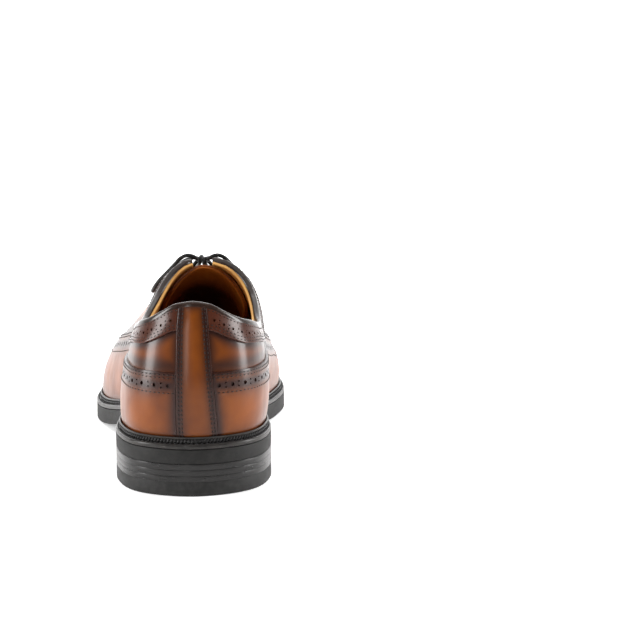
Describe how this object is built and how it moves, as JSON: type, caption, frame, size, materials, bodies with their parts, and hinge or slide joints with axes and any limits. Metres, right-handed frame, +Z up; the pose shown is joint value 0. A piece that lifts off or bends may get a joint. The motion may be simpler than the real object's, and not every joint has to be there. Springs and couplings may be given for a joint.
{
  "type": "dress_shoe",
  "caption": "Man's left longwing brogue derby in burnished tan leather, with open lacing, a black waxed lace tied in a bow, a storm welt, a leather-and-rubber sole and a stacked heel.",
  "frame": {"origin": "on the ground under the centre of the shoe's bounding box", "axes": "+Z up, +Y towards the toe, +X towards the inner (medial) side of the left foot"},
  "size_m": [0.113, 0.305, 0.1056],
  "materials": {
    "upper_leather": "polished, burnished darker along the seams",
    "trim_leather": "polished dark brown",
    "lining_leather": "smooth natural",
    "insole_leather": "matt natural",
    "stack_leather": "waxed and polished nearly black",
    "welt_leather": "waxed dark brown",
    "sole_rubber": "matt",
    "cork": "granular cork paste",
    "stiffener_board": "matt board",
    "steel": "plain",
    "eyelet_brass": "plain, set under the facing",
    "lace": "waxed cotton",
    "aglet": "smooth black"
  },
  "bodies": {
    "shoe": {"top_piece": "sole_rubber", "heel_lift_1": "stack_leather", "heel_lift_2": "stack_leather", "heel_lift_3": "stack_leather", "heel_nail_1": "steel", "heel_nail_2": "steel", "heel_nail_3": "steel", "heel_nail_4": "steel", "heel_nail_5": "steel", "outsole": "sole_rubber", "welt": "welt_leather", "insole": "insole_leather", "sock_liner": "lining_leather", "insole_rib": "insole_leather", "cork_filler": "cork", "shank": "steel", "vamp": "upper_leather", "wing_cap": "upper_leather", "quarter_lateral": "upper_leather", "quarter_medial": "upper_leather", "collar_band_lateral": "trim_leather", "collar_band_medial": "trim_leather", "backstay": "upper_leather", "topline_binding": "trim_leather", "quarter_lining": "lining_leather", "vamp_lining": "lining_leather", "heel_counter": "stiffener_board", "toe_puff": "stiffener_board", "eyelet_lateral_1": "eyelet_brass", "eyelet_lateral_2": "eyelet_brass", "eyelet_lateral_3": "eyelet_brass", "eyelet_lateral_4": "eyelet_brass", "eyelet_lateral_5": "eyelet_brass", "eyelet_medial_1": "eyelet_brass", "eyelet_medial_2": "eyelet_brass", "eyelet_medial_3": "eyelet_brass", "eyelet_medial_4": "eyelet_brass", "eyelet_medial_5": "eyelet_brass", "lace_run": "lace", "lace_knot": "lace", "lace_end_lateral": "lace", "aglet_lateral": "aglet", "lace_end_medial": "lace", "aglet_medial": "aglet"},
    "tongue": {"tongue": "upper_leather", "tongue_lining": "lining_leather"}
  },
  "joints": [
    {"name": "tongue_hinge", "type": "hinge", "parent": "shoe", "child": "tongue", "pos_m": [0.0067, 0.0165, 0.067], "axis": [1, 0, 0], "range_deg": [0, 18]}
  ]
}
